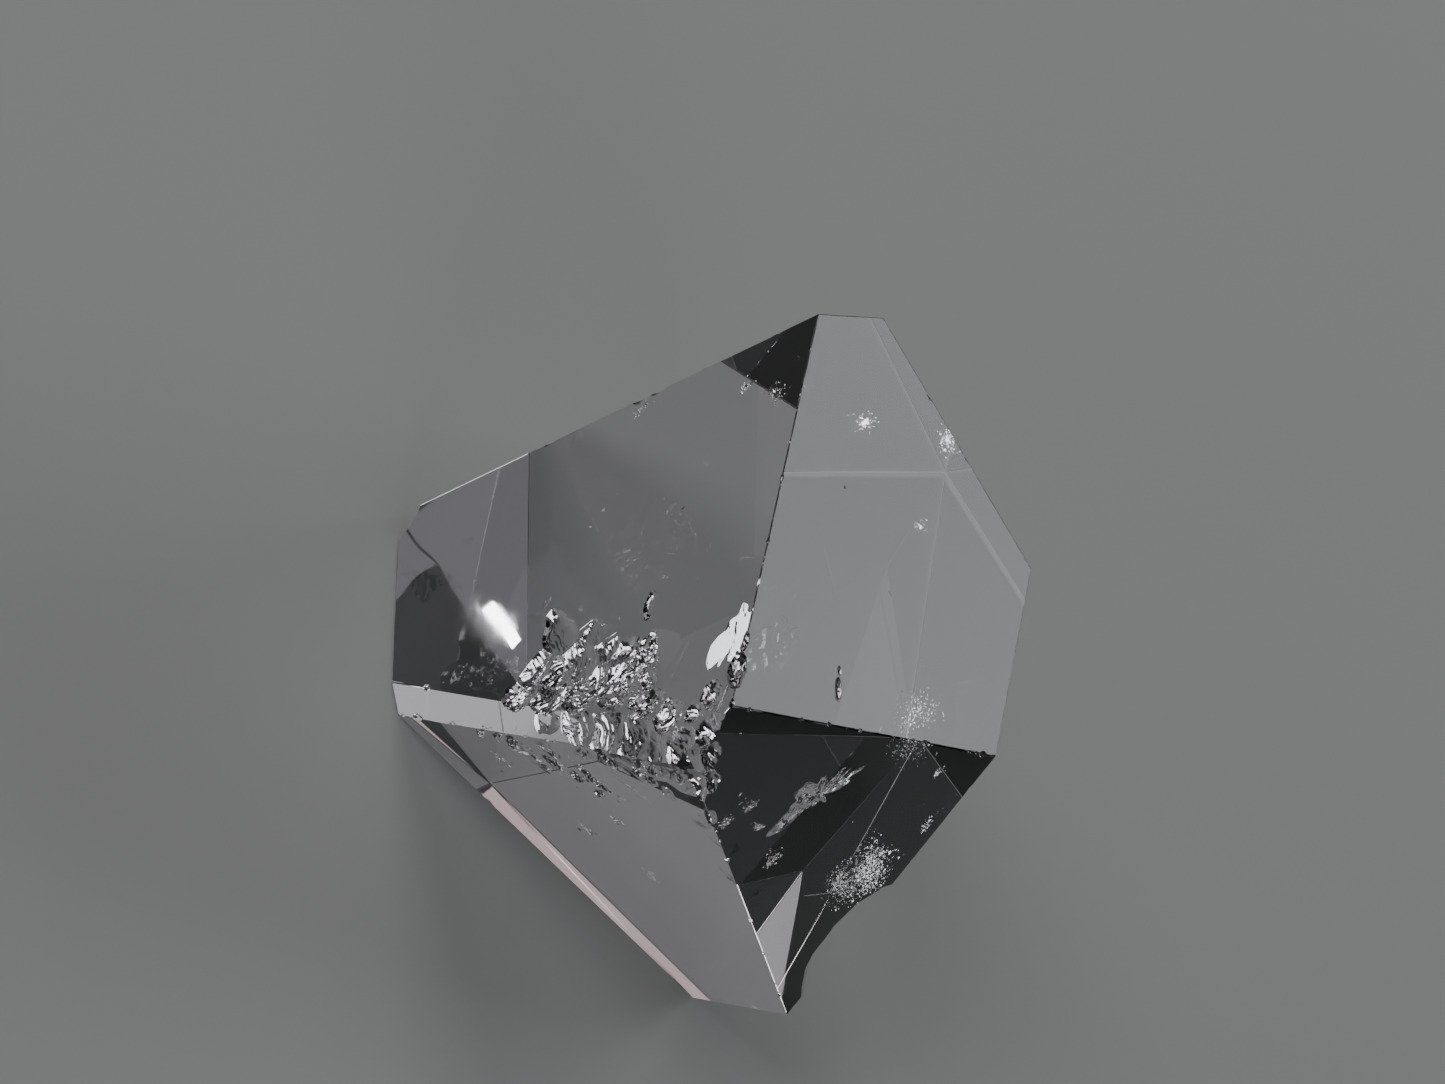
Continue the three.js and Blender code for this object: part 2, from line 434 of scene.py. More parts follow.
@dataclass(frozen=True)
class Bite:
    """A hollow knocked out of the stone: a sunk ball with bowls and sharp crests on its skin.

    Attributes:
        point: The place on the crystal's surface, in mm from its middle.
        outward: The direction out of the stone there.
        run: The direction along which the hollow is stretched.
        radius: The ball's radius.
        depth: How deep the hollow is.
        stretch: How much longer the hollow is along the run.
        bowl: The width of the bowls on its skin; 0 leaves it smooth.
        crest: How far the crests between the bowls stand proud.
        seed: Picks the pattern of bowls.
        rows: Grid rows from pole to pole; the grid has twice as many columns.
        FINE: The width of the small bowls inside the wide ones, against theirs.
        SHARE: How far their crests stand proud, against the wide ones'.
        LEVEL: The squared distance at which a bowl leaves the ball as it is.
        MOVES: How far the patterns of the wide and the small bowls are moved for each seed, in mm.
    """

    point: np.ndarray
    outward: np.ndarray
    run: np.ndarray
    radius: float
    depth: float
    stretch: float = 1.0
    bowl: float = 0.0
    crest: float = 0.0
    seed: int = 0
    rows: int = 40

    FINE = 0.37
    SHARE = 0.3
    LEVEL = 0.4
    MOVES = (7.0, 3.0)

    def mesh(self) -> bpy.types.Mesh:
        """Builds the cutter: the radius times the unit ball, less crest times distance squared.

        The distance is that to the nearest of many scattered points, at two sizes.

        Returns:
            The cutter.
        """
        ball = ball_grid(self.rows, 2 * self.rows)
        skin = ball.reshape(-1, 3) * self.radius
        swollen = np.ones(len(skin))
        if self.bowl:
            first, second = self.MOVES
            wide = bowls(skin + first * self.seed, self.bowl, self.seed) ** 2
            fine = bowls(skin + second * self.seed, self.bowl * self.FINE, self.seed + 1) ** 2
            rise = self.LEVEL - wide + self.SHARE * (self.LEVEL - fine)
            swollen += self.crest / self.radius * rise
        shaped = skin * swollen[:, None] * np.array([self.stretch, 1.0, 1.0])
        centre = self.point + unit(self.outward) * (self.radius - self.depth)
        placed = centre + shaped @ axes_of(self.outward, self.run)
        return closed_mesh("bite", [placed.reshape(ball.shape)])


@dataclass(frozen=True)
class ShellScar:
    """The scar of a flake knocked off an edge: a smooth scoop with ripples around the blow.

    Attributes:
        edge: The edge that lost the flake.
        along: Where on the edge the blow fell.
        radius: The scoop's radius.
        depth: How deep it is at its middle.
        stretch: How much longer it is along the edge.
        ripple: The way from the blow to the first ripple; later ones lie wider apart.
        height: How high the ripples stand.
        hackle: The width of the rough bowls that take over far from the blow.
        BLOW: Where the blow fell, from the scoop's middle, in radii.
        FADE: How far from the blow the ripples die out, in radii.
        WAVER: How far swell shifts the ripples, in radians.
        UNEVEN: How far the scoop as a whole swells, in mm.
        ROUGH: How high the crests between the rough bowls stand, against their width.
        LONG: What places are scaled by, so that the rough bowls come out long across the edge.
        ROOM: How much larger than its ball the scoop is taken to be where it must be cleared.
        SWELLS: The widths of the swells that shift the ripples and the scoop as a whole.
        GRID: The rows and columns of its grid.
    """

    edge: Edge
    along: float
    radius: float
    depth: float
    stretch: float
    ripple: float
    height: float
    hackle: float

    BLOW = (0.85, 0.25, -0.7)
    FADE = 1.1
    WAVER = 1.8
    UNEVEN = 0.03
    ROUGH = 0.3
    LONG = (1.0, 0.35, 1.0)
    ROOM = 1.05
    SWELLS = (0.4, 0.35)
    GRID = (90, 160)

    @property
    def axes(self) -> np.ndarray:
        """Axes as rows: along the edge, across it, and outward."""
        return axes_of(self.edge.outward, self.edge.run)

    @property
    def centre(self) -> np.ndarray:
        """The scoop's middle, which lies outside the stone."""
        return self.edge.at(self.along) + self.edge.outward * (self.radius - self.depth)

    def clears(self, points: np.ndarray, margin: float) -> np.ndarray:
        """Tells which points lie outside the scoop by more than a margin."""
        local = (points - self.centre) @ self.axes.T / np.array([self.stretch, 1.0, 1.0])
        return np.linalg.norm(local, axis=1) > self.radius * self.ROOM + margin

    def mesh(self) -> bpy.types.Mesh:
        """Builds the cutter.

        It is a ball whose radius swings by the sine of the root of the way from the blow. The
        swings die out by a bell curve of that way, and rough bowls take their place.

        Returns:
            The cutter.
        """
        ball = ball_grid(*self.GRID)
        skin = ball.reshape(-1, 3) * self.radius * np.array([self.stretch, 1.0, 1.0])
        blow = self.radius * np.array(self.BLOW)
        reach = np.linalg.norm(skin - blow, axis=1)
        fade = np.exp(-((reach / (self.FADE * self.radius)) ** 2))
        shift = self.WAVER * swell(skin, self.SWELLS[0], 5)
        wave = np.sin(2 * np.pi * np.sqrt(reach / self.ripple) + shift)
        dent = self.height * wave * fade + self.UNEVEN * swell(skin, self.SWELLS[1], 9)
        hackle = bowls(skin * np.array(self.LONG), self.hackle, 12) ** 2
        dent += self.ROUGH * self.hackle * (hackle - MEAN_BOWL) * (1 - fade)
        shaped = skin * (1 + dent / self.radius)[:, None]
        placed = self.centre + shaped @ self.axes
        return Skin.SATIN.mark(closed_mesh("scar", [placed.reshape(ball.shape)]))


@dataclass(frozen=True)
class Dish:
    """A shallow dish of an etched patch.

    Attributes:
        along: How far along the patch's edge its middle lies, from 0 to 1.
        inward: How far in from the edge, in mm.
        reach: How far its rim lies from its middle, in mm.
        depth: Its depth.
    """

    along: float
    inward: float
    reach: float
    depth: float


@dataclass(frozen=True)
class Etching:
    """A patch of one face eaten away in dishes that overlap, with crinkled crests inside them.

    Attributes:
        face: The face.
        edge: The edge from which the dishes are laid out.
        dishes: The dishes.
        bowl: The width of the crinkles.
        crest: How high their crests stand.
        slant: How far the crinkles lean along the edge for each mm inward.
        stretch: How much longer the crinkles are than wide.
        groove: How high the crests between the grooves stand, against the crinkles' crests.
        cell: The spacing of the grid.
        seed: Picks the pattern.
        fan: Where fibres take the crinkles' place: how far along they end, and how far in they
            start; None for nowhere.
        SHIFTS: The widths of the swells that shift every place, and how far they do.
        CRINKLES: For each size of crinkle its width and height against the widest, how far its
            pattern is moved, and what is added to the seed.
        TURN: How far the slant varies, and the width of the swell by which it does.
        GROOVES: The grooves' width against the crinkles', their length against their width, and
            the width of the swell by which their height varies.
        BORDER: How wide the borders of the fan are, along the edge and in from it.
        ROOT: Where the fibres spread from: how far along the edge, and how far in.
        DRAWN: What the angle about the root, in radians, and the way from it, in mm, are
            multiplied by, so that ribs come out long.
        CURL: How far the ribs curl, in radians for each squared mm from the root.
        RIBS: The widths of wide and narrow ribs, in radians, and how high they stand.
        RISE: How high the ribs stand as a whole, in crests, and about their mean height.
        ROLL: The width and height of the swell that carries the ribs.
        LIFT: How far above the face the cutter's rim lies.
        CAP: How far above the face its top lies.
        FADE: The depth at which the crests have risen to their whole height.
        MARGIN: How far the grid reaches past the dishes.
        LEAST: The least depth inside the patch.
    """

    face: Face
    edge: Edge
    dishes: tuple[Dish, ...]
    bowl: float
    crest: float
    slant: float
    stretch: float
    groove: float
    cell: float
    seed: int
    fan: tuple[float, float] | None = None

    SHIFTS = ((0.5, 0.14), (0.12, 0.05))
    CRINKLES = ((1.0, 1.0, 0.0, 0), (0.45, 0.5, 3.1, 4), (0.2, 0.22, 5.7, 5))
    TURN = (0.8, 0.8)
    GROOVES = (0.3, 8, 0.3)
    BORDER = (0.15, 0.2)
    ROOT = (0.35, -0.9)
    DRAWN = (0.9, 0.14)
    CURL = 0.25
    RIBS = ((0.05, 1.0), (0.024, 0.7))
    RISE = (0.3, 0.4)
    ROLL = (0.3, 0.9)
    LIFT = 0.02
    CAP = 0.12
    FADE = 0.02
    MARGIN = 0.25
    LEAST = 0.002

    def spread(self) -> np.ndarray:
        """The dishes' middles in mm along and in from the edge, with reach and depth."""
        length = np.linalg.norm(self.edge.run)
        return np.array([(d.along * length, d.inward, d.reach, d.depth) for d in self.dishes])

    def cut(self, along: np.ndarray, inward: np.ndarray) -> np.ndarray:
        """How deep the patch is eaten at each place; below zero outside it.

        A dish is its depth times one less the squared distance over its squared reach, and the
        deepest dish counts. Places are first shifted a little by random swell, so that no rim is
        round. Inside, crests are added: the squared distance to the nearest of many scattered
        points, at three sizes, on places stretched and slanted so that the crinkles run one way.
        Grooves are a fourth such field, narrow and eight times as long.

        Args:
            along: Places along the edge, in mm.
            inward: Places in from the edge, in mm.

        Returns:
            Depths in mm, in an array of the same shape.
        """
        places = np.stack([along.ravel(), inward.ravel(), np.zeros(along.size)], axis=-1)
        x, y = places[:, 0], places[:, 1]
        for step, (width, far) in enumerate(self.SHIFTS):
            x = x + far * swell(places, width, self.seed + 2 * step)
            y = y + far * swell(places, width, self.seed + 2 * step + 1)
        spread = self.spread()
        gap = (x[:, None] - spread[:, 0]) ** 2 + (y[:, None] - spread[:, 1]) ** 2
        eaten = (spread[:, 3] * (1 - gap / spread[:, 2] ** 2)).max(axis=1)
        inside = np.clip(eaten / self.FADE, 0, 1)
        turn = self.slant + self.TURN[0] * swell(places, self.TURN[1], self.seed + 8)
        lean = np.stack([x - turn * y, y / self.stretch, 0 * x], axis=-1)
        crests = np.zeros(len(x))
        for width, height, move, number in self.CRINKLES:
            field = bowls(lean + move, self.bowl * width, self.seed + number) ** 2
            crests += height * (field - MEAN_BOWL)
        width, long, varied = self.GROOVES
        drawn = lean / np.array([1.0, long / self.stretch, 1.0])
        narrow = bowls(drawn, width * self.bowl, self.seed + 6) ** 2
        crests += self.groove * (narrow - MEAN_BOWL) * (1 + swell(places, varied, self.seed + 7))
        crests += self.fans(x, y) * (self.fibres(x, y) - crests)
        lowered = np.maximum(eaten - inside * self.crest * crests, self.LEAST)
        return np.where(eaten > 0, lowered, eaten).reshape(along.shape)

    def fans(self, x: np.ndarray, y: np.ndarray) -> np.ndarray:
        """How far the crinkles give way to fibres.

        Args:
            x: Places along the edge, in mm.
            y: Places in from the edge, in mm.

        Returns:
            1 well inside the patch's fan, falling evenly to 0 at its borders.
        """
        if self.fan is None:
            return np.zeros(x.shape)
        end, low = self.fan
        ahead = (end * np.linalg.norm(self.edge.run) - x) / self.BORDER[0]
        return np.clip(ahead, 0, 1) * np.clip((y - low) / self.BORDER[1], 0, 1)

    def fibres(self, x: np.ndarray, y: np.ndarray) -> np.ndarray:
        """Fine ribs that spread like a fan from a point below the edge.

        A rib is the squared distance to the nearest of many points scattered over the angle about
        that point and the way from it, which is squeezed so that ribs come out long.

        Args:
            x: Places along the edge, in mm.
            y: Places in from the edge, in mm.

        Returns:
            How high the ribs stand at each place, in crests.
        """
        across, out = x - self.ROOT[0] * np.linalg.norm(self.edge.run), y - self.ROOT[1]
        angle = np.arctan2(across, out) * self.DRAWN[0]
        way = np.hypot(across, out)
        fine = np.stack([angle + self.CURL * way**2, way * self.DRAWN[1], 0 * x], axis=-1)
        ribs = np.zeros(len(x))
        for step, (width, height) in enumerate(self.RIBS):
            ribs += height * bowls(fine + 2.0 * step, width, self.seed + 9 + step) ** 2
        places = np.stack([x, y, 0 * x], axis=-1)
        rise, mean = self.RISE
        width, height = self.ROLL
        return rise * (ribs - mean) + height * swell(places, width, self.seed + 11)

    def mesh(self) -> bpy.types.Mesh:
        """Builds the cutter: the eaten surface below, a flat cap above, closed at the rim.

        Returns:
            The cutter.
        """
        spread = self.spread()
        reach = spread[:, 2:3] + self.MARGIN
        low = (spread[:, :2] - reach).min(axis=0)
        high = (spread[:, :2] + reach).max(axis=0)
        counts = np.ceil((high - low) / self.cell).astype(int)
        along, inward = np.meshgrid(
            np.linspace(low[0], high[0], counts[0]),
            np.linspace(low[1], high[1], counts[1]),
            indexing="ij",
        )
        under = np.minimum(-self.cut(along, inward), self.LIFT)
        inner = np.zeros(along.shape, bool)
        inner[1:-1, 1:-1] = True
        under = np.where(inner, under, self.LIFT)
        over = np.where(inner, self.CAP, self.LIFT)
        axes = self.edge.axes(self.face)
        start = self.edge.start
        grids = [start + np.stack([along, inward, z], axis=-1) @ axes for z in (under, over)]
        return Skin.SATIN.mark(closed_mesh("etching", grids))


@dataclass(frozen=True)
class GrowthPits:
    """Three-sided pits that point the way the face's own triangle does.

    Attributes:
        face: The face.
        edge: The edge that one side of each pit is parallel to.
        places: For each pit, along and inward as in a Dish, its reach and its depth.
        LIFT: How far above the face the cutter's top lies.
    """

    face: Face
    edge: Edge
    places: tuple[tuple[float, float, float, float], ...]

    LIFT = 0.02

    def mesh(self) -> bpy.types.Mesh:
        """Builds the cutter: for each pit an inverted pyramid that widens on above the face.

        Returns:
            The cutter.
        """
        turns = np.radians([90, 210, 330])
        ring = np.stack([np.cos(turns), np.sin(turns), np.zeros(3)], axis=-1)
        axes = self.edge.axes(self.face)
        length = np.linalg.norm(self.edge.run)
        points = []
        for along, inward, reach, depth in self.places:
            rim = ring * reach * (1 + self.LIFT / depth) + np.array([0, 0, self.LIFT])
            pit = np.vstack([rim, [0.0, 0.0, -depth]]) + np.array([along * length, inward, 0])
            points.append(self.edge.start + pit @ axes)
        sides = np.array([(0, 1, 2), (0, 3, 1), (1, 3, 2), (2, 3, 0)])
        faces = sides[None] + 4 * np.arange(len(points))[:, None, None]
        return facet_mesh("pits", np.concatenate(points), faces.reshape(-1, 3))


# ------------------------------------------------------------------------------------------------
# Inside
# ------------------------------------------------------------------------------------------------


@dataclass(frozen=True)
class Fracture:
    """An air-thin fracture inside the stone: a crinkled leaf with a ragged rim.

    Attributes:
        centre: Its middle, in mm from the crystal's middle.
        outward: The direction that the leaf faces.
        run: The direction of its length.
        length: Half its length.
        width: Half its width.
        gap: Half the thickness of the air in it.
        crinkle: How high its crinkles are.
        grain: How wide its crinkles are.
        ragged: How uneven its rim is.
        seed: Picks the pattern.
        rows: Grid rows from pole to pole.
        NOTCHES: The widths of the rim's wide and narrow notches, against the leaf, and how deep
            they are against the ragged.
        FINE: The width and height of the small crinkles, against the wide ones'.
        MOVES: How far the patterns of the rim, the wide crinkles and the small ones are moved.
    """

    centre: np.ndarray
    outward: np.ndarray
    run: np.ndarray
    length: float
    width: float
    gap: float = 0.003
    crinkle: float = 0.02
    grain: float = 0.15
    ragged: float = 0.25
    seed: int = 0
    rows: int = 50

    NOTCHES = ((0.6, 1.0), (0.2, 0.5))
    FINE = 0.35
    MOVES = (11.0, 4.0, 9.0)

    def mesh(self) -> bpy.types.Mesh:
        """Builds the air's skin: a ball pressed flat.

        Its rim is one plus random swell around the compass, and its height is the squared
        distance to the nearest of many scattered points, at two sizes.

        Returns:
            The skin.
        """
        ball = ball_grid(self.rows, 2 * self.rows)
        flat = ball.reshape(-1, 3)
        sides = np.stack([flat[:, 0], flat[:, 1], 0 * flat[:, 0]], axis=-1)
        compass = sides / np.maximum(np.linalg.norm(sides, axis=1), 1e-9)[:, None]
        first, second, third = self.MOVES
        uneven = np.zeros(len(flat))
        for step, (width, deep) in enumerate(self.NOTCHES):
            uneven += deep * swell(compass + first, width, self.seed + step)
        rim = 1 + self.ragged * uneven
        spot = sides * rim[:, None] * np.array([self.length, self.width, 0.0])
        folds = bowls(spot + second, self.grain, self.seed) ** 2
        fine = bowls(spot + third, self.FINE * self.grain, self.seed + 2) ** 2
        height = self.crinkle * (folds - MEAN_BOWL + self.FINE * (fine - MEAN_BOWL))
        height += self.gap * flat[:, 2]
        shaped = spot + np.stack([0 * height, 0 * height, height], axis=-1)
        placed = self.centre + shaped @ axes_of(self.outward, self.run)
        return closed_mesh("fracture", [placed.reshape(ball.shape)])


@dataclass(frozen=True)
class Veil:
    """A healed fracture: a veil of tiny flat air pockets, dense in its middle.

    Attributes:
        centre: Its middle, in mm from the crystal's middle.
        outward: The direction that the veil faces.
        run: The direction of its length.
        length: Half its length.
        width: Half its width.
        count: How many pockets it has.
        size: The half width of a usual pocket.
        seed: Picks the pattern.
        scatter: How far the pockets lean out of the veil's plane.
        bend: How far its ends curl up.
        MARGIN: How close to a face or to the flake scar a pocket may lie.
        SPREAD: The spread of the places, against the half length and half width.
        RIM: How far from the middle, in the same measure, the furthest pockets lie.
        THICK: The spread of the places out of the veil, against its half length.
        VARY: The spread of the logarithm of a pocket's size.
        NARROW: A pocket's width against its length.
        FLAT: Its thickness against its length.
        SIDES: How many sides a pocket has around its rim.
    """

    centre: Triple
    outward: Triple
    run: Triple
    length: float
    width: float
    count: int
    size: float
    seed: int
    scatter: float = 0.06
    bend: float = 0.05

    MARGIN = 0.07
    SPREAD = 0.45
    RIM = 1.1
    THICK = 0.02
    VARY = 0.5
    NARROW = 0.7
    FLAT = 0.12
    SIDES = 6

    def mesh(self, scar: ShellScar) -> bpy.types.Mesh:
        """Builds the pockets' skins: flat double pyramids.

        Their places have a bell-shaped spread about the middle, and their sizes a bell-shaped
        spread of the logarithm. Pockets that would come near a face or the scar are left out.

        Args:
            scar: The flake scar, which no pocket may touch.

        Returns:
            The mesh.
        """
        draw = np.random.default_rng(self.seed)
        axes = axes_of(np.array(self.outward), np.array(self.run))
        across = np.clip(draw.normal(0, self.SPREAD, (self.count, 2)), -self.RIM, self.RIM)
        thick = self.THICK * self.length * draw.normal(size=self.count)
        height = self.bend * across[:, 0] ** 2 + thick
        spots = np.stack([across[:, 0] * self.length, across[:, 1] * self.width, height], axis=-1)
        places = np.array(self.centre) + spots @ axes
        room = np.min([face.distance - places @ face.normal for face in Face], axis=0)
        kept = places[(room > self.MARGIN) & scar.clears(places, self.MARGIN)]
        count = len(kept)
        up = axes[2] + self.scatter * draw.normal(size=(count, 3))
        up /= np.linalg.norm(up, axis=1)[:, None]
        side = np.cross(up, axes[1])
        side /= np.linalg.norm(side, axis=1)[:, None]
        other = np.cross(up, side)
        reach = (self.size * np.exp(self.VARY * draw.normal(size=count)))[:, None, None]
        sides = self.SIDES
        turns = np.radians(np.arange(0, 360, 360 // sides))[None, :, None]
        ring = np.cos(turns) * side[:, None] + self.NARROW * np.sin(turns) * other[:, None]
        tips = np.stack([up, -up], axis=1) * self.FLAT
        points = kept[:, None] + reach * np.concatenate([ring, tips], axis=1)
        rim = np.arange(sides)
        after = (rim + 1) % sides
        above = np.stack([rim, after, np.full(sides, sides)], axis=-1)
        below = np.stack([after, rim, np.full(sides, sides + 1)], axis=-1)
        firsts = (sides + 2) * np.arange(count)
        faces = np.concatenate([above, below])[None] + firsts[:, None, None]
        return facet_mesh("veil", points.reshape(-1, 3), faces.reshape(-1, 3))


# ------------------------------------------------------------------------------------------------
# Finishes
# ------------------------------------------------------------------------------------------------


def link(
    tree: bpy.types.NodeTree, source: bpy.types.NodeSocket, target: bpy.types.NodeSocket
) -> None:
    """Joins an output to an input."""
    tree.links.new(source, target)


@dataclass(frozen=True)
class ClearStone:
    """The finish of the stone: clear, faintly lilac, with a trace of haze on handled places.

    Attributes:
        ior: Refractive index of spinel.
        tint: What the surface lets through.
        body: What is left of white light in a thickness of one over the density.
        density: How fast the body colours light, in 1/m.
        haze: The greatest roughness of a hazy spot.
        smear: The scale, in 1/m, and detail of the noise that sets the hazy spots.
        hazy: The range of that noise over which the haze rises.
        satin: The least and greatest roughness of etched stone.
        grain: The scale, in 1/m, and detail of the noise that varies it.
        rough: The range of that noise over which it does.
        waver: How far the flat faces waver from the plane, in m.
        growth: The scale, in 1/m, and detail of the noise by which they do.
        OCTAVE: How strong each finer layer of a noise is against the one before.
    """

    ior: float = 1.72
    tint: Triple = (0.985, 0.98, 0.99)
    body: Triple = (0.79, 0.73, 0.82)
    density: float = 90.0
    haze: float = 0.05
    smear: tuple[float, float] = (700.0, 5.0)
    hazy: tuple[float, float] = (0.52, 0.8)
    satin: tuple[float, float] = (0.0, 0.12)
    grain: tuple[float, float] = (9000.0, 3.0)
    rough: tuple[float, float] = (0.35, 0.65)
    waver: float = 0.0000006
    growth: tuple[float, float] = (700.0, 0.0)

    OCTAVE = 0.65

    def noise(
        self, tree: bpy.types.NodeTree, place: bpy.types.Node, pattern: tuple[float, float]
    ) -> bpy.types.Node:
        """Adds noise over the piece's own places.

        Args:
            tree: The material's nodes.
            place: The node that gives the places.
            pattern: The scale, in 1/m, and the detail.

        Returns:
            The noise's node.
        """
        noise = tree.nodes.new("ShaderNodeTexNoise")
        noise.inputs["Scale"].default_value, noise.inputs["Detail"].default_value = pattern
        noise.inputs["Roughness"].default_value = self.OCTAVE
        link(tree, place.outputs["Object"], noise.inputs["Vector"])
        return noise

    def spread(
        self,
        tree: bpy.types.NodeTree,
        noise: bpy.types.Node,
        source: tuple[float, float],
        target: tuple[float, float],
    ) -> bpy.types.Node:
        """Adds a map from a range of a noise to a range of the finish.

        Args:
            tree: The material's nodes.
            noise: The noise's node.
            source: The range of the noise.
            target: The range of the finish.

        Returns:
            The map's node.
        """
        spread = tree.nodes.new("ShaderNodeMapRange")
        for name, value in zip(("From Min", "From Max", "To Min", "To Max"), source + target):
            spread.inputs[name].default_value = value
        link(tree, noise.outputs["Fac"], spread.inputs["Value"])
        return spread

    def material(self) -> bpy.types.Material:
        """Builds the material.

        Its roughness is the haze, plus the satin where the mesh is marked as satin.

        Returns:
            The material.
        """
        material = bpy.data.materials.new(SLOT)
        material.use_nodes = True
        tree = material.node_tree
        shader = tree.nodes["Principled BSDF"]
        shader.inputs["Base Color"].default_value = (*self.tint, 1.0)
        shader.inputs["IOR"].default_value = self.ior
        shader.inputs["Transmission Weight"].default_value = 1.0
        place = tree.nodes.new("ShaderNodeTexCoord")
        smear = self.noise(tree, place, self.smear)
        haze = self.spread(tree, smear, self.hazy, (0.0, self.haze))
        grain = self.noise(tree, place, self.grain)
        satin = self.spread(tree, grain, self.rough, self.satin)
        mark = tree.nodes.new("ShaderNodeAttribute")
        mark.attribute_name = SATIN
        rough = tree.nodes.new("ShaderNodeMath")
        rough.operation = "MULTIPLY_ADD"
        link(tree, mark.outputs["Fac"], rough.inputs[0])
        link(tree, satin.outputs["Result"], rough.inputs[1])
        link(tree, haze.outputs["Result"], rough.inputs[2])
        link(tree, rough.outputs["Value"], shader.inputs["Roughness"])
        growth = self.noise(tree, place, self.growth)
        ease = tree.nodes.new("ShaderNodeBump")
        ease.inputs["Strength"].default_value = 1.0
        ease.inputs["Distance"].default_value = self.waver
        link(tree, growth.outputs["Fac"], ease.inputs["Height"])
        link(tree, ease.outputs["Normal"], shader.inputs["Normal"])
        body = tree.nodes.new("ShaderNodeVolumeAbsorption")
        body.inputs["Color"].default_value = (*self.body, 1.0)
        body.inputs["Density"].default_value = self.density
        link(tree, body.outputs["Volume"], tree.nodes["Material Output"].inputs["Volume"])
        return material


# ------------------------------------------------------------------------------------------------
# The crystal
# ------------------------------------------------------------------------------------------------


def carve(body: bpy.types.Object, cutters: list[bpy.types.Mesh]) -> None:
    """Cuts solids out of an object's mesh and keeps the result as its mesh.

    Args:
        body: The object that is cut.
        cutters: Closed meshes in the same frame.
    """
    group = bpy.data.collections.new("cutters")
    tools = [bpy.data.objects.new("cutter", mesh) for mesh in cutters]
    for tool in tools:
        group.objects.link(tool)
    change = body.modifiers.new("carve", "BOOLEAN")
    change.operation = "DIFFERENCE"
    change.operand_type = "COLLECTION"
    change.collection = group
    change.solver = "MANIFOLD"
    bpy.context.scene.collection.children.link(group)
    graph = bpy.context.evaluated_depsgraph_get()
    result = bpy.data.meshes.new_from_object(body.evaluated_get(graph))
    body.modifiers.clear()
    body.data = result
    for tool in tools:
        bpy.data.objects.remove(tool)
    bpy.data.collections.remove(group)


@dataclass(frozen=True)
class CrushedCorner:
    """The blunt corner where the left, top, front right and front faces nearly meet."""

    def bites(self) -> list[Bite]:
        """The hollows, each with its place, direction, run and sizes in the order of a Bite.

        Returns:
            The hollows, from the ridge down the blunt corner, then those around them.
        """
        down = unit(Edge.KEEL.run)
        top = (Face.LEFT, Face.TOP, Face.FRONT_RIGHT)
        mid = (Face.LEFT, Face.BEVEL, Face.FRONT_RIGHT)
        low = (Face.BEVEL, Face.FRONT, Face.FRONT_RIGHT)
        ridge, keel, left, right = Edge.RIDGE, Edge.KEEL, Face.LEFT, Face.FRONT_RIGHT
        above, aside, ahead = between(left, Face.TOP), left.normal, right.normal
        return [
            Bite(corner(*top) - 0.12 * down, between(*top), down, 0.34, 0.12, 1.2, 0.2, 0.06, 1),
            Bite(corner(*mid), between(*mid), down, 0.3, 0.12, 1.3, 0.16, 0.06, 2),
            Bite(corner(*low) + 0.1 * down, between(*low), down, 0.36, 0.14, 1.3, 0.2, 0.07, 3),
            Bite(corner(*low) + 0.45 * down, between(*low), down, 0.3, 0.1, 1.2, 0.18, 0.05, 4),
            Bite(ridge.on(left, 0.09, 0.06), above, ridge.run, 0.13, 0.08, 1.5, 0.12, 0.03, 5, 30),
            Bite(ridge.on(left, 0.035, 0.3), aside, ridge.run, 0.16, 0.07, 1.2, 0.12, 0.04, 6, 30),
            Bite(ridge.on(left, 0.0, 0.47), aside, down, 0.13, 0.05, 1.4, 0.1, 0.03, 7, 30),
            Bite(ridge.at(0.16), above, ridge.run, 0.07, 0.04, 1.8, 0.06, 0.015, 8, 24),
            Bite(keel.at(0.2), keel.outward, down, 0.12, 0.05, 1.6, 0.1, 0.02, 9, 24),
            Bite(keel.on(right, 0.01, 0.2), ahead, down, 0.17, 0.07, 1.4, 0.12, 0.04, 10, 30),
            Bite(keel.on(right, 0.09, 0.13), ahead, down, 0.13, 0.05, 1.6, 0.1, 0.03, 11, 30),
        ]

    def meshes(self) -> list[bpy.types.Mesh]:
        """Builds a cutter for each hollow."""
        return [bite.mesh() for bite in self.bites()]


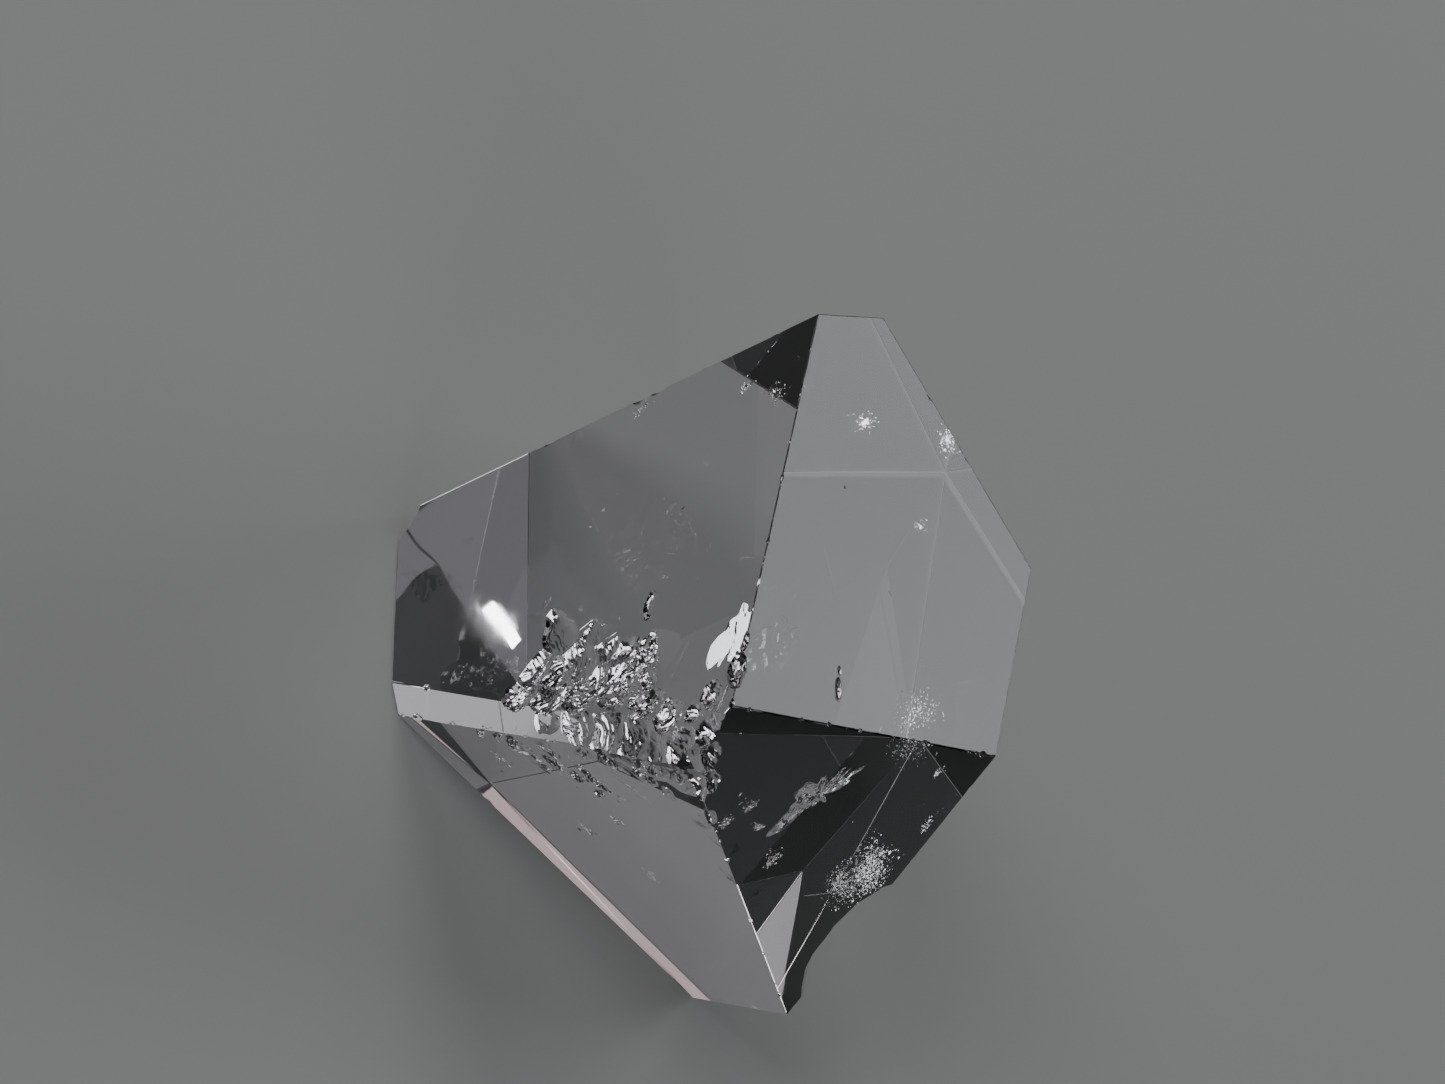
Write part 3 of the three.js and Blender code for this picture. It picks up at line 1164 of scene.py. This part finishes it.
@dataclass(frozen=True)
class Nicks:
    """Chips along one sharp edge: a few that stand out, and many tiny ones between them.

    Attributes:
        edge: The edge.
        chips: For each chip that stands out, how far along the edge it lies and its radius.
        tiny: How many tiny chips lie between them.
        seed: Picks the places of the tiny ones.
        TINY: The least radius of a tiny chip, and how much larger the greatest is.
        DEPTH: The least depth of a chip against its radius, and how much deeper the deepest is.
        LONG: How much longer than wide the longest chip is.
        ASIDE: How far chips turn to one side of the edge.
        CREST: How high the crests in a chip stand, against its radius.
        ROWS: The grid rows of a chip.
    """

    edge: Edge
    chips: tuple[tuple[float, float], ...]
    tiny: int
    seed: int

    TINY = (0.012, 0.022)
    DEPTH = (0.3, 0.2)
    LONG = 0.8
    ASIDE = 0.5
    CREST = 0.3
    ROWS = 14

    def meshes(self) -> list[bpy.types.Mesh]:
        """Builds a cutter for each chip.

        Returns:
            The cutters, those that stand out first.
        """
        draw = np.random.default_rng(self.seed)
        spots = list(self.chips)
        least, more = self.TINY
        spots += [(draw.random(), least + more * draw.random() ** 2) for _ in range(self.tiny)]
        found = []
        for number, (along, radius) in enumerate(spots):
            depth = radius * (self.DEPTH[0] + self.DEPTH[1] * draw.random())
            stretch = 1 + self.LONG * draw.random()
            aside = self.ASIDE * (draw.random() - 0.5) * self.edge.sides[0].normal
            chip = Bite(
                point=self.edge.at(along),
                outward=unit(self.edge.outward + aside),
                run=self.edge.run,
                radius=radius,
                depth=depth,
                stretch=stretch,
                bowl=radius,
                crest=self.CREST * radius,
                seed=number,
                rows=self.ROWS,
            )
            found.append(chip.mesh())
        return found


@dataclass
class Crystal:
    """The clear crystal: flat faces with worn edges, less its damage, plus the fractures in it.

    Attributes:
        edge_wear: How wide the edges are worn.
        sharp_angle: The angle in degrees from which an edge is shaded sharp.
        finish: The finish of the stone.
        crushed: The blunt corner.
        scar: The flake scar at the foot.
        patch: The etched patch of the left face.
        frost: The bevel's frosted bowls beside it.
        sparkles: Etched spots of the front face, below the bevel.
        nicks: The chips along each edge.
        specks: Bright specks inside: place, the direction that each faces, and size.
        veils: The healed fractures.
        growth: The growth pits.
        ALIGNED: The cosine of the angle within which a polygon lies as its face does.
    """

    edge_wear: float = 0.011
    sharp_angle: float = 24.0
    finish: ClearStone = ClearStone()
    crushed: CrushedCorner = CrushedCorner()
    scar: ShellScar = ShellScar(
        Edge.FOOT,
        along=0.71,
        radius=0.85,
        depth=0.27,
        stretch=1.25,
        ripple=0.06,
        height=0.0045,
        hackle=0.14,
    )
    patch: Etching = Etching(
        Face.LEFT,
        Edge.BEVEL_TOP,
        (
            Dish(0.467, 0.73, 0.26, 0.06),
            Dish(0.546, 0.86, 0.2, 0.06),
            Dish(0.607, 0.75, 0.2, 0.06),
            Dish(0.537, 0.55, 0.34, 0.08),
            Dish(0.42, 0.4, 0.24, 0.06),
            Dish(0.39, 0.15, 0.2, 0.05),
            Dish(0.5, 0.2, 0.34, 0.08),
            Dish(0.605, 0.26, 0.36, 0.09),
            Dish(0.706, 0.32, 0.34, 0.09),
            Dish(0.677, 0.68, 0.2, 0.06),
            Dish(0.742, 0.77, 0.16, 0.06),
            Dish(0.752, 0.56, 0.2, 0.07),
            Dish(0.682, 1.15, 0.09, 0.03),
            Dish(0.81, 0.2, 0.26, 0.08),
            Dish(0.88, 0.12, 0.2, 0.07),
        ),
        bowl=0.14,
        crest=0.042,
        slant=0.6,
        stretch=1.6,
        groove=0.6,
        cell=0.0092,
        seed=21,
        fan=(0.7, 0.3),
    )
    frost: Etching = Etching(
        Face.BEVEL,
        Edge.BEVEL_TOP,
        (
            Dish(0.52, 0.12, 0.2, 0.015),
            Dish(0.62, 0.12, 0.3, 0.02),
            Dish(0.72, 0.18, 0.4, 0.03),
            Dish(0.82, 0.2, 0.4, 0.04),
            Dish(0.92, 0.2, 0.4, 0.05),
        ),
        bowl=0.15,
        crest=0.013,
        slant=0.3,
        stretch=1.1,
        groove=0.15,
        cell=0.01,
        seed=31,
    )
    sparkles: Etching = Etching(
        Face.FRONT,
        Edge.BEVEL_FOOT,
        (
            Dish(0.28, 0.06, 0.1, 0.012),
            Dish(0.34, 0.13, 0.12, 0.02),
            Dish(0.39, 0.24, 0.14, 0.03),
            Dish(0.4, 0.4, 0.1, 0.02),
            Dish(0.42, 0.52, 0.12, 0.025),
            Dish(0.48, 0.4, 0.12, 0.03),
            Dish(0.52, 0.54, 0.12, 0.03),
            Dish(0.57, 0.5, 0.12, 0.03),
            Dish(0.6, 0.66, 0.1, 0.025),
            Dish(0.57, 0.84, 0.09, 0.02),
            Dish(0.5, 0.12, 0.12, 0.02),
            Dish(0.62, 0.1, 0.14, 0.025),
            Dish(0.72, 0.14, 0.18, 0.03),
            Dish(0.78, 0.33, 0.16, 0.03),
            Dish(0.84, 0.12, 0.22, 0.04),
            Dish(0.9, 0.3, 0.24, 0.04),
            Dish(0.82, 0.56, 0.1, 0.02),
        ),
        bowl=0.1,
        crest=0.05,
        slant=-0.4,
        stretch=1.2,
        groove=0.5,
        cell=0.01,
        seed=41,
    )
    nicks: tuple[Nicks, ...] = (
        Nicks(
            Edge.RIDGE,
            ((0.3, 0.05), (0.41, 0.045), (0.57, 0.04), (0.75, 0.035), (0.81, 0.04)),
            24,
            11,
        ),
        Nicks(Edge.SHOULDER, ((0.35, 0.04), (0.72, 0.05), (0.95, 0.06)), 14, 12),
        Nicks(Edge.KEEL, ((0.36, 0.05), (0.6, 0.04)), 14, 13),
        Nicks(Edge.BEVEL_TOP, ((0.12, 0.05),), 8, 14),
        Nicks(Edge.BEVEL_FOOT, ((0.07, 0.07), (0.2, 0.04)), 10, 15),
        Nicks(Edge.OUTER_RIGHT, ((0.3, 0.06), (0.55, 0.05)), 10, 16),
        Nicks(Edge.LEFT_BACK, ((0.36, 0.08), (0.4, 0.12), (0.62, 0.07)), 12, 17),
        Nicks(Edge.FOOT, ((0.12, 0.05), (0.3, 0.04)), 10, 18),
        Nicks(Edge.REST_FRONT, ((0.3, 0.06),), 8, 19),
    )
    specks: tuple[tuple[Triple, Triple, float], ...] = (
        ((-1.36, 0.186, 2.52), BELOW_RIDGE, 0.075),
        ((-0.144, 0.488, 2.346), BELOW_SHOULDER, 0.05),
        ((-0.785, 1.398, 2.55), BELOW_OUTER_RIGHT, 0.06),
        ((1.113, -2.664, 1.29), BELOW_BLUNT_CORNER, 0.03),
        ((0.766, -2.974, 1.198), BELOW_FRONT, 0.05),
    )
    veils: tuple[Veil, ...] = (
        Veil((2.53, -0.52, 0.62), BELOW_FOOT, (-0.357, -0.818, 0.451), 0.5, 0.34, 1100, 0.009, 51),
        Veil((2.5, -0.76, 0.38), BELOW_FOOT, (0.432, 0.737, -0.52), 0.42, 0.24, 500, 0.009, 52),
        Veil((1.412, -0.393, 1.664), BELOW_TOP, (-0.115, -0.958, 0.263), 0.5, 0.24, 400, 0.008, 53),
        Veil((-1.35, 0.17, 2.52), BELOW_RIDGE, THROUGH, 0.2, 0.14, 130, 0.009, 54),
        Veil((-0.144, 0.488, 2.34), BELOW_SHOULDER, THROUGH, 0.12, 0.08, 50, 0.008, 55),
        Veil((-0.785, 1.398, 2.55), BELOW_OUTER_RIGHT, THROUGH, 0.22, 0.16, 180, 0.01, 56),
        Veil((1.252, -2.442, 1.135), BELOW_BLUNT_CORNER, ACROSS, 0.12, 0.1, 100, 0.009, 59),
        Veil((1.278, -2.708, 0.98), BELOW_BLUNT_CORNER, ACROSS, 0.12, 0.1, 100, 0.009, 60),
        Veil((1.813, -1.798, 0.592), BELOW_BLUNT_CORNER, ACROSS, 0.14, 0.13, 120, 0.009, 61),
        Veil((1.475, -2.211, 0.936), BELOW_BLUNT_CORNER, ACROSS, 0.12, 0.05, 60, 0.008, 62),
        Veil((2.42, 0.05, 1.1), BELOW_FOOT, THROUGH, 0.12, 0.1, 60, 0.009, 63),
        Veil((2.006, -0.157, 1.697), BELOW_FOOT, THROUGH, 0.08, 0.06, 40, 0.008, 64),
        Veil((-0.277, -1.98, -1.248), BELOW_FRONT, THROUGH, 0.14, 0.1, 90, 0.01, 65),
        Veil((0.74, -1.468, -1.019), BELOW_FRONT, THROUGH, 0.12, 0.09, 90, 0.01, 66),
        Veil((0.798, -1.833, -0.359), BELOW_FRONT, THROUGH, 0.1, 0.07, 70, 0.009, 67),
        Veil((1.485, -1.306, -0.748), BELOW_FRONT, THROUGH, 0.14, 0.1, 100, 0.01, 68),
        Veil((-0.1, -2.57, -0.56), BELOW_FRONT, UNDER_BEVEL, 0.5, 0.1, 130, 0.01, 71, 0.12),
        Veil((0.42, -2.66, 0.02), BELOW_FRONT, UNDER_BEVEL, 0.45, 0.12, 130, 0.01, 72, 0.12),
        Veil((0.62, -2.85, 0.45), BELOW_FRONT, UNDER_BEVEL, 0.35, 0.14, 130, 0.008, 73),
        Veil((-2.376, -0.32, 1.108), BELOW_LEFT, THROUGH, 0.2, 0.06, 60, 0.008, 69),
        Veil((-1.971, -0.591, 2.5), BELOW_LEFT, THROUGH, 0.14, 0.06, 60, 0.008, 70),
    )
    growth: tuple[GrowthPits, ...] = (
        GrowthPits(Face.TOP, Edge.RIDGE, ((0.66, 0.92, 0.025, 0.004), (0.5, 1.9, 0.04, 0.004))),
        GrowthPits(Face.LEFT, Edge.RIDGE, ((0.85, 0.74, 0.04, 0.004), (0.55, 1.3, 0.03, 0.004))),
        GrowthPits(Face.BACK, Edge.OUTER_RIGHT, ((0.4, 0.9, 0.06, 0.006), (0.6, 1.4, 0.04, 0.005))),
        GrowthPits(
            Face.BACK_LEFT, Edge.LEFT_BACK, ((0.4, 1.2, 0.06, 0.006), (0.6, 0.8, 0.04, 0.005))
        ),
        GrowthPits(
            Face.FRONT, Edge.BEVEL_FOOT, ((0.24, 0.7, 0.03, 0.004), (0.36, 1.5, 0.04, 0.005))
        ),
    )

    ALIGNED = 0.9999

    def flat_faced(self) -> bpy.types.Mesh:
        """Builds the whole crystal before any damage, with its edges worn to a hairline.

        Returns:
            The mesh.
        """
        normals = np.array([face.normal for face in Face])
        distances = np.array([face.distance for face in Face])
        corners, polygons = polyhedron(normals, distances)
        mesh = bpy.data.meshes.new("crystal")
        mesh.from_pydata(corners.tolist(), [], polygons)
        work = bmesh.new()
        work.from_mesh(mesh)
        bmesh.ops.bevel(
            work,
            geom=work.edges[:],
            offset=self.edge_wear,
            segments=2,
            profile=0.5,
            affect="EDGES",
        )
        bmesh.ops.recalc_face_normals(work, faces=work.faces[:])
        work.to_mesh(mesh)
        work.free()
        return mesh

    def broken_corner(self) -> bpy.types.Mesh:
        """Builds the cutter that breaks the corner of the left, back left and bottom faces.

        Returns:
            The cutter.
        """
        faces = (Face.LEFT, Face.BACK_LEFT, Face.BOTTOM)
        hollow = Bite(
            point=corner(*faces),
            outward=between(*faces),
            run=Edge.LEFT_BACK.run,
            radius=1.2,
            depth=0.21,
            bowl=0.35,
            crest=0.05,
            seed=6,
            rows=90,
        )
        return hollow.mesh()

    def teardrop(self) -> list[bpy.types.Mesh]:
        """Builds the cutters of two small hollows on the top face near the shoulder.

        Returns:
            The cutters, the larger first.
        """
        ridge, top = Edge.RIDGE, Face.TOP
        run = -0.93 * ridge.axes(top)[0] + 0.3 * ridge.inward(top)
        spots = ((0.203, 1.44, 0.06, 2.2), (0.245, 1.4, 0.035, 1.6))
        found = []
        for along, inward, size, stretch in spots:
            hollow = Bite(
                point=ridge.on(top, along, inward),
                outward=top.normal,
                run=run,
                radius=size,
                depth=0.6 * size,
                stretch=stretch,
                bowl=size,
                crest=0.2 * size,
                seed=3,
                rows=24,
            )
            found.append(hollow.mesh())
        return found

    def fractures(self) -> list[bpy.types.Mesh]:
        """Builds the air-thin fractures inside.

        Returns:
            The skins of a feather by the crushed corner, a leaf, the specks and the veils.
        """
        feather = Fracture(
            centre=np.array([0.167, -2.503, 2.238]),
            outward=np.array([0.023, -0.371, 0.928]),
            run=np.array([-0.018, 0.79, 0.316]),
            length=0.43,
            width=0.24,
            crinkle=0.008,
            grain=0.2,
            ragged=0.4,
            seed=3,
            rows=40,
        )
        leaf = Fracture(
            centre=np.array([1.45, -1.5, 1.27]),
            outward=np.array([0.735, 0.048, 0.676]),
            run=np.array([-0.373, 1.338, 0.311]),
            length=0.54,
            width=0.27,
            crinkle=0.03,
            grain=0.12,
            ragged=0.8,
            seed=5,
        )
        specks = [
            Fracture(
                centre=np.array(place),
                outward=np.array(facing),
                run=Edge.RIDGE.run,
                length=size,
                width=0.7 * size,
                crinkle=0.06 * size,
                grain=size,
                ragged=0.4,
                seed=number,
                rows=14,
            )
            for number, (place, facing, size) in enumerate(self.specks)
        ]
        found = [piece.mesh() for piece in (feather, leaf, *specks)]
        return found + [veil.mesh(self.scar) for veil in self.veils]

    def build(self) -> bpy.types.Object:
        """Builds the crystal and dresses it.

        Returns:
            The crystal.
        """
        crystal = bpy.data.objects.new("crystal", self.flat_faced())
        bpy.context.scene.collection.objects.link(crystal)
        for _ in Skin:
            crystal.data.materials.append(None)
        large = [piece.mesh() for piece in (self.patch, self.frost, self.sparkles, self.scar)]
        carve(crystal, large + [self.broken_corner()])
        carve(crystal, self.crushed.meshes())
        small = self.teardrop() + [mesh for edge in self.nicks for mesh in edge.meshes()]
        carve(crystal, small + [pits.mesh() for pits in self.growth])
        self.open_fractures(crystal, self.fractures())
        self.set_in_frame(crystal)
        self.mark_satin(crystal.data)
        crystal.data.materials.clear()
        crystal.data.materials.append(self.finish.material())
        LOG.info("crystal: %d polygons", len(crystal.data.polygons))
        return crystal

    def open_fractures(self, crystal: bpy.types.Object, skins: list[bpy.types.Mesh]) -> None:
        """Adds each fracture's skin to the crystal's mesh, turned so that it faces the air.

        Args:
            crystal: The crystal.
            skins: The fractures' skins.
        """
        work = bmesh.new()
        work.from_mesh(crystal.data)
        for skin in skins:
            before = len(work.faces)
            work.from_mesh(skin)
            work.faces.ensure_lookup_table()
            bmesh.ops.reverse_faces(work, faces=work.faces[before:])
        work.to_mesh(crystal.data)
        work.free()

    def mark_satin(self, mesh: bpy.types.Mesh) -> None:
        """Moves the marks that the cutters left in the material slots to the satin attribute.

        Args:
            mesh: The crystal's mesh.
        """
        slots = np.empty(len(mesh.polygons), np.int32)
        mesh.polygons.foreach_get("material_index", slots)
        satin = mesh.attributes.new(SATIN, "FLOAT", "FACE")
        satin.data.foreach_set("value", slots.astype(float))
        mesh.polygons.foreach_set("material_index", np.zeros(len(slots), np.int32))
        LOG.info("satin: %d polygons", int((slots > 0).sum()))

    def keep_faces_flat(self, mesh: bpy.types.Mesh) -> None:
        """Shades what is left of each flat face as a plane, and everything else as smooth.

        A polygon belongs to a flat face where its normal is the face's own, and where its middle
        lies at the face's distance.

        Args:
            mesh: The crystal's mesh, in mm from its middle.
        """
        count = len(mesh.polygons)
        normals, middles = np.empty(3 * count), np.empty(3 * count)
        mesh.polygons.foreach_get("normal", normals)
        mesh.polygons.foreach_get("center", middles)
        normals, middles = normals.reshape(-1, 3), middles.reshape(-1, 3)
        smooth = np.ones(count, bool)
        for face in Face:
            aligned = normals @ face.normal > self.ALIGNED
            level = np.abs(middles @ face.normal - face.distance) < TOUCH
            smooth &= ~(aligned & level)
        mesh.polygons.foreach_set("use_smooth", smooth)

    def set_in_frame(self, crystal: bpy.types.Object) -> None:
        """Marks sharp edges and writes the mesh's points in metres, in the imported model's frame.

        Args:
            crystal: The crystal, in mm from its middle.
        """
        mesh = crystal.data
        mesh.set_sharp_from_angle(angle=math.radians(self.sharp_angle))
        self.keep_faces_flat(mesh)
        points = np.empty(3 * len(mesh.vertices))
        mesh.vertices.foreach_get("co", points)
        mesh.vertices.foreach_set("co", ((points.reshape(-1, 3) + MIDDLE) * MM).ravel())
        mesh.update()


# ------------------------------------------------------------------------------------------------
# Studio
# ------------------------------------------------------------------------------------------------


@dataclass(frozen=True)
class Viewpoint:
    """The camera: where it stands and how it is turned, around the crystal's middle.

    Attributes:
        place: Its place in mm from the crystal's middle.
        back: The direction that its back looks in.
        roll: How far it is rolled, in degrees.
        lens: Its focal length in mm.
        SENSOR: The width of its sensor in mm.
        CLIP: The least and greatest distances that it sees, in m.
    """

    place: Triple = (0.0, -33.952, 24.067)
    back: Triple = (0.022871, -0.825185, 0.564399)
    roll: float = -58.2
    lens: float = 99.65

    SENSOR = 36.0
    CLIP = (0.001, 10.0)

    def build(self) -> bpy.types.Object:
        """Creates the camera and makes it the scene's.

        Returns:
            The camera.
        """
        lens = bpy.data.cameras.new("camera")
        lens.lens = self.lens
        lens.sensor_width = self.SENSOR
        lens.clip_start, lens.clip_end = self.CLIP
        camera = bpy.data.objects.new("camera", lens)
        bpy.context.scene.collection.objects.link(camera)
        back = unit(np.array(self.back))
        level = unit(np.cross([0.0, 0.0, 1.0], back))
        rise = np.cross(back, level)
        roll = math.radians(self.roll)
        right = math.cos(roll) * level - math.sin(roll) * rise
        turn = Matrix(np.array([right, np.cross(back, right), back]).T.tolist()).to_4x4()
        stand = (np.array(self.place) + MIDDLE) * MM
        camera.matrix_world = Matrix.Translation(stand.tolist()) @ turn
        bpy.context.scene.camera = camera
        return camera


@dataclass(frozen=True)
class SoftLight:
    """A soft light that faces the crystal.

    Attributes:
        name: Its name.
        heading: Where it stands, in degrees from +X towards +Y.
        height: How high it stands, in degrees above the crystal's middle.
        width: Its width, in m.
        tall: Its height, in m.
        glow: Its brightness, in W per square metre and steradian.
        colour: Its colour.
        reach: Its distance from the crystal, in m.
    """

    name: str
    heading: float
    height: float
    width: float
    tall: float
    glow: float
    colour: Triple = (1.0, 1.0, 1.0)
    reach: float = 0.12

    def build(self) -> bpy.types.Object:
        """Creates the light, with a power of pi times its glow times its area.

        Returns:
            The light.
        """
        lamp = bpy.data.lights.new(self.name, "AREA")
        lamp.shape = "RECTANGLE"
        lamp.size = self.width
        lamp.size_y = self.tall
        lamp.energy = math.pi * self.glow * self.width * self.tall
        lamp.color = self.colour
        light = bpy.data.objects.new(self.name, lamp)
        bpy.context.scene.collection.objects.link(light)
        heading, height = math.radians(self.heading), math.radians(self.height)
        flat = math.cos(height)
        way = Vector((flat * math.cos(heading), flat * math.sin(heading), math.sin(height)))
        light.location = way * self.reach + Vector((MIDDLE * MM).tolist())
        light.rotation_euler = way.to_track_quat("Z", "Y").to_euler()
        light.visible_camera = False
        return light


@dataclass(frozen=True)
class Studio:
    """The pale floor, the soft lights and the dim grey room.

    Attributes:
        floor_half: Half the floor's width, in m.
        floor_colour: The floor's colour.
        floor_rough: The floor's roughness.
        room: The colour of the room around.
        lights: The lights.
        gap: How far the floor lies below the crystal, in m.
    """

    floor_half: float = 0.3
    floor_colour: Triple = (0.5, 0.52, 0.52)
    floor_rough: float = 0.8
    room: Triple = (0.02, 0.022, 0.022)
    lights: tuple[SoftLight, ...] = (
        SoftLight("top", 250.0, 80.0, 0.06, 0.06, 0.4, reach=0.13),
        SoftLight("front", 227.0, 42.0, 0.05, 0.05, 3.0),
        SoftLight("front_right", 315.0, 27.0, 0.04, 0.04, 1.8),
        SoftLight("back", 65.0, 35.0, 0.055, 0.055, 2.1, (0.95, 0.99, 1.0)),
        SoftLight("low_back", 48.0, 24.0, 0.034, 0.022, 0.9),
        SoftLight("side_back", 89.0, 24.0, 0.03, 0.022, 0.6),
        SoftLight("low_right", 9.0, 14.5, 0.042, 0.02, 0.8),
        SoftLight("low_front", 306.0, 12.5, 0.025, 0.019, 0.9),
        SoftLight("upper_left", 133.0, 46.0, 0.028, 0.022, 2.6, (1.0, 0.96, 0.92)),
        SoftLight("left", 205.0, 19.0, 0.1, 0.04, 0.6),
        SoftLight("low_left", 170.0, 5.5, 0.05, 0.01, 0.7, (0.9, 0.92, 1.0)),
        SoftLight("warm", 42.0, 5.0, 0.025, 0.018, 0.6, (1.0, 0.84, 0.78)),
        SoftLight("rose", 167.3, 0.13, 0.017, 0.0046, 0.75, (1.0, 0.78, 0.77)),
        SoftLight("rear_left", 152.0, 35.0, 0.045, 0.045, 3.0, (1.0, 0.93, 0.88)),
        SoftLight("spark", 99.34, 40.95, 0.002, 0.0006, 22.0, reach=0.1204),
        SoftLight("window", 100.4, 39.3, 0.0098, 0.009, 0.15, (0.97, 0.95, 1.0), reach=0.121),
        SoftLight("window_top", 103.6, 42.4, 0.0047, 0.004, 0.15, (0.97, 0.95, 1.0), reach=0.121),
    )
    gap: float = 0.000015

    def build(self) -> None:
        """Creates the world, the floor and the lights."""
        world = bpy.data.worlds.new("room")
        world.use_nodes = True
        background = world.node_tree.nodes["Background"]
        background.inputs["Color"].default_value = (*self.room, 1.0)
        bpy.context.scene.world = world
        side = self.floor_half
        mesh = bpy.data.meshes.new("floor")
        low = -self.gap
        corners = [(-side, -side, low), (side, -side, low), (side, side, low), (-side, side, low)]
        mesh.from_pydata(corners, [], [(0, 1, 2, 3)])
        floor = bpy.data.objects.new("floor", mesh)
        bpy.context.scene.collection.objects.link(floor)
        card = bpy.data.materials.new("floor_card")
        card.use_nodes = True
        inputs = card.node_tree.nodes["Principled BSDF"].inputs
        inputs["Base Color"].default_value = (*self.floor_colour, 1.0)
        inputs["Roughness"].default_value = self.floor_rough
        mesh.materials.append(card)
        for light in self.lights:
            light.build()


def main() -> None:
    """Builds the camera, the crystal and the studio."""
    logging.basicConfig(level=logging.INFO, format="%(name)s: %(message)s")
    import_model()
    Viewpoint().build()
    crystal = Crystal().build()
    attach(crystal, BODY)
    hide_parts(NODE)
    Studio().build()


if __name__ == "__main__":
    main()
